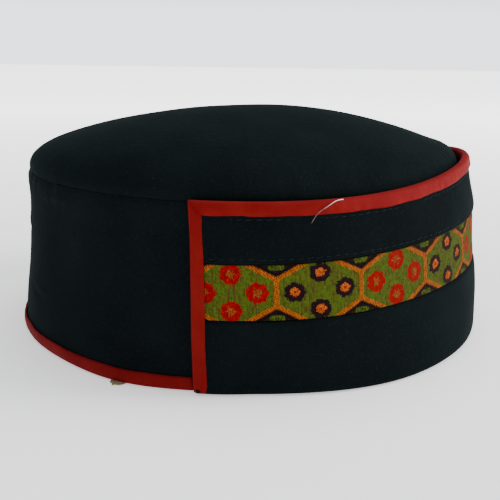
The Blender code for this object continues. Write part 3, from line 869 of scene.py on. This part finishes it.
# Stitches: short arches whose ends dive into the cloth, half a sine wave high
def makeStitches():
    limit = endAngle(0.055) - (cap["bindingWidth"] + 0.001) / cap["radius"]
    count = int(2 * limit * cap["radius"] / strip["stitchPitch"])
    centre = (np.arange(count) - (count - 1) / 2) * strip["stitchPitch"] / cap["radius"]
    local = np.linspace(-0.5, 0.5, 7)
    paths = []
    for row in (0, 1):
        rng = np.random.default_rng(60 + row)
        shift = rng.normal(0, 0.00012, (count, 1))
        angle = centre[:, None] + (local * strip["stitchLength"] + shift) / cap["radius"]
        height = stitchLines(angle)[row] + rng.normal(0, 0.00008, (count, 1))
        height = height + local * rng.normal(0.0001, 0.0001, (count, 1))
        lift = 0.00022 * np.cos(np.pi * local) - 0.00006
        paths.append(onCuff(angle, height, cap["cuffCloth"] + strip["puff"] * 0.6 - strip["dip"] + lift))
    stitchThread = threadMaterial("seam thread", thread["seam"], thread["seamDark"], 0.7)
    return threadPiece("topStitches", np.concatenate(paths), strip["stitchRadius"], 6, [stitchThread])


topStitches = makeStitches()


# Loose end of thread: a smooth curve through the path's points
def makeLooseThread():
    path = np.array(thread["path"])
    at = np.linspace(0, len(path) - 1, 60)
    wide = np.stack([np.interp(at, np.arange(len(path)), path[:, axis]) for axis in range(3)], 1)
    kernel = np.exp(-0.5 * (np.arange(-7, 8) / 3.2) ** 2)
    kernel /= kernel.sum()
    padded = np.pad(wide, ((7, 7), (0, 0)), "reflect", reflect_type="odd")
    smooth = np.stack([np.convolve(padded[:, axis], kernel, "valid") for axis in range(3)], 1)
    line = onCuff(np.radians(smooth[:, 0]), smooth[:, 1], smooth[:, 2])
    cloth = threadMaterial("loose thread", thread["loose"], thread["looseDark"], 0.5, 0.1, 0.3)
    tree = cloth.node_tree
    shader = tree.nodes["Principled BSDF"]
    parts = addNode(tree, "ShaderNodeSeparateXYZ")
    climb = addNode(tree, "ShaderNodeMapRange",
                    {"From Min": thread["paleFrom"], "From Max": thread["paleTo"]})
    blend = addNode(tree, "ShaderNodeMix", data_type="RGBA")
    blend.inputs[7].default_value = thread["looseTop"]
    tree.links.new(addNode(tree, "ShaderNodeTexCoord").outputs["Object"], parts.inputs["Vector"])
    tree.links.new(parts.outputs["Z"], climb.inputs["Value"])
    tree.links.new(climb.outputs["Result"], blend.inputs["Factor"])
    tree.links.new(shader.inputs["Base Color"].links[0].from_socket, blend.inputs[6])
    tree.links.new(blend.outputs[2], shader.inputs["Base Color"])
    taper = np.linspace(0.75, 1.15, 60)
    return threadPiece("looseThread", line[None], thread["radius"], 8, [cloth], taper)


looseThread = makeLooseThread()

# Scrap of lining that lies on the floor and sticks out from under the hem
scrap = {
    "angleFrom": -118.3, "angleTo": -114.8,
    "start": 0.0003, "reach": 0.0036, "foot": 0.0001, "thick": 0.0003,
}


# Its free edge is half a sine wave with a finer ragged wave on it
def makeScrap():
    share = np.linspace(0, 1, 24)[None]
    out = np.linspace(0, 1, 8)[:, None]
    angle = np.radians(scrap["angleFrom"] + (scrap["angleTo"] - scrap["angleFrom"]) * share)
    edge = 0.0006 + scrap["reach"] * np.sin(np.pi * share) ** 0.6 * (0.85 + 0.15 * np.sin(share * 17))
    outward = scrap["start"] + (edge - scrap["start"]) * out
    height = scrap["foot"] + 0.0002 * np.sin(share * 11 + out * 2) ** 2
    lower = drumPoint(angle, height, outward)
    upper = drumPoint(angle, height + scrap["thick"], outward)[::-1]
    return gridPiece("liningScrap", np.concatenate([lower, upper]), [liningCloth], closeRows=True, caps=True)


liningScrap = makeScrap()

# Wool nap: short bent fibres that stand off the cloth, and a few specks of lint
nap = {
    "count": 3600, "length": 0.0011, "radius": 0.000013,
    "lintCount": 16, "lintLength": 0.0012, "lintRadius": 0.00005,
}


# Each fibre is a parabola that leaves the cloth and lies over to one side
def napPaths(face, count, length, lean, seed):
    rng = np.random.default_rng(seed)
    row = rng.integers(1, face.shape[0] - 1, count)
    column = rng.integers(1, face.shape[1] - 1, count)
    across = face[row + 1, column] - face[row - 1, column]
    along = face[row, column + 1] - face[row, column - 1]
    normal = np.cross(across, along)
    normal /= np.linalg.norm(normal, axis=1, keepdims=True)
    start = face[row, column]
    normal *= np.sign(((start - [0, 0, 0.03]) * normal).sum(1))[:, None]
    side = np.cross(normal, rng.normal(size=(count, 3)))
    side /= np.linalg.norm(side, axis=1, keepdims=True)
    reach = np.linspace(0, 1, 4)[None, :, None]
    size = length * rng.uniform(0.5, 1.3, count)[:, None, None]
    rise = rng.uniform(0.25, 1.0, count)[:, None, None] * (1 - lean)
    arch = normal[:, None] * rise * reach * (1.7 - 1.3 * reach)
    return start[:, None] + size * (side[:, None] * reach + arch)


def makeNap():
    parts = [(crownFace[6:], 0.40), (wallFace[:, :110], 0.14), (wallFace[:, -110:], 0.14),
             (cuffFace, 0.18), (stripFace[4:36], 0.14)]
    paths = [napPaths(face, int(nap["count"] * part), nap["length"], 0.35, 70 + index)
             for index, (face, part) in enumerate(parts)]
    fibre = threadMaterial("wool fibre", wool["fibre"], wool["crownPale"], 0.9)
    fuzz = threadPiece("woolNap", np.concatenate(paths), nap["radius"], 3, [fibre],
                       taper=np.array([1, 0.9, 0.7, 0.35]))
    specks = [napPaths(face, max(int(nap["lintCount"] * part), 2), nap["lintLength"], 0.8, 90 + index)
              for index, (face, part) in enumerate(parts)]
    lintCloth = threadMaterial("lint", thread["lint"], thread["lintDark"], 0.8)
    lint = threadPiece("lintSpecks", np.concatenate(specks), nap["lintRadius"], 4, [lintCloth],
                       taper=np.array([0.6, 1, 0.9, 0.4]))
    return fuzz, lint


woolNap, lintSpecks = makeNap()
print("stitches, threads and nap made")

for piece in (crownTop, sideWall, frontCuff, patternedBand, upperStrip, cuffBinding, hemBinding,
              topStitches, looseThread, liningScrap, woolNap, lintSpecks):
    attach(piece, "root")

# Floor, light and camera
studio = {
    "world": (0.93, 0.95, 1.0, 1), "worldPower": 0.58, "horizonPower": 2.6, "nearGlow": 0.6, "floorGlow": 2.6,
    # place, size, watts and colour of each soft light, all aimed at the cap
    "lights": (((0.15, -1.50, 0.75), 0.9, 32, (1.0, 0.98, 0.94)),
               ((0.35, -0.10, 1.45), 1.0, 12, (0.96, 0.98, 1.0))),
    "distance": 0.353587, "lift": 11.489, "pitch": 14.411, "aside": 0.000029, "roll": 0.81, "lens": 57.36,
}


# The sky is brighter close to the horizon, and the floor glows a little away from the cap
def makeStudio():
    world = bpy.data.worlds.new("studio")
    world.use_nodes = True
    tree = world.node_tree
    sky = tree.nodes["Background"]
    sky.inputs["Color"].default_value = studio["world"]
    parts = addNode(tree, "ShaderNodeSeparateXYZ")
    power = addNode(tree, "ShaderNodeMapRange", {
        "From Min": 0.04, "From Max": 0.14, "To Min": studio["horizonPower"], "To Max": studio["worldPower"]})
    tree.links.new(addNode(tree, "ShaderNodeTexCoord").outputs["Generated"], parts.inputs["Vector"])
    tree.links.new(parts.outputs["Z"], power.inputs["Value"])
    tree.links.new(power.outputs["Result"], sky.inputs["Strength"])
    bpy.context.scene.world = world
    for index, (place, size, watts, colour) in enumerate(studio["lights"]):
        lamp = bpy.data.lights.new("soft light %d" % index, "AREA")
        lamp.shape, lamp.size, lamp.energy, lamp.color = "DISK", size, watts, colour
        holder = bpy.data.objects.new(lamp.name, lamp)
        back = np.array(place) - [0, 0, 0.04]
        back = back / np.linalg.norm(back)
        right = np.cross([0, 0, 1.0], back)
        right /= np.linalg.norm(right)
        turned = np.eye(4)
        turned[:3, :4] = np.stack([right, np.cross(back, right), back, place], 1)
        holder.matrix_world = Matrix(turned.tolist())
        bpy.context.scene.collection.objects.link(holder)
    spread = np.linspace(-4, 4, 9)
    x, y = np.meshgrid(spread, spread)
    floorMaterial, tree, shader = startMaterial("pale floor", 0.9)
    shader.inputs["Base Color"].default_value = (0.93, 0.93, 0.93, 1)
    shader.inputs["Emission Color"].default_value = (1, 1, 1, 1)
    distance = addNode(tree, "ShaderNodeVectorMath", operation="LENGTH")
    glow = addNode(tree, "ShaderNodeMapRange", {
        "From Min": 0.15, "From Max": 1.1, "To Min": studio["nearGlow"], "To Max": studio["floorGlow"]})
    tree.links.new(addNode(tree, "ShaderNodeTexCoord").outputs["Object"], distance.inputs[0])
    tree.links.new(distance.outputs["Value"], glow.inputs["Value"])
    tree.links.new(glow.outputs["Result"], shader.inputs["Emission Strength"])
    mesh = bpy.data.meshes.new("floor")
    places = np.stack([x, y, 0 * x - 0.0001], -1).reshape(-1, 3)
    mesh.from_pydata(places.tolist(), [], gridCorners(9, 9, False, False)[0].tolist())
    mesh.materials.append(floorMaterial)
    floor = bpy.data.objects.new("floor", mesh)
    bpy.context.scene.collection.objects.link(floor)


def makeCamera():
    lift, pitch, roll = np.radians([studio["lift"], studio["pitch"], studio["roll"]])
    place = np.array([-studio["distance"] * np.cos(lift), studio["aside"],
                      0.045 + studio["distance"] * np.sin(lift)])
    back = np.array([-np.cos(pitch), 0, np.sin(pitch)])
    level, up = np.array([0, -1.0, 0]), np.array([np.sin(pitch), 0, np.cos(pitch)])
    turned = np.eye(4)
    right = np.cos(roll) * level + np.sin(roll) * up
    top = np.cos(roll) * up - np.sin(roll) * level
    turned[:3, :4] = np.stack([right, top, back, place], 1)
    lens = bpy.data.cameras.new("photo camera")
    lens.lens, lens.sensor_width = studio["lens"], 36
    camera = bpy.data.objects.new("photo camera", lens)
    camera.matrix_world = Matrix(turned.tolist())
    bpy.context.scene.collection.objects.link(camera)
    bpy.context.scene.camera = camera


makeStudio()
makeCamera()
print("studio made")
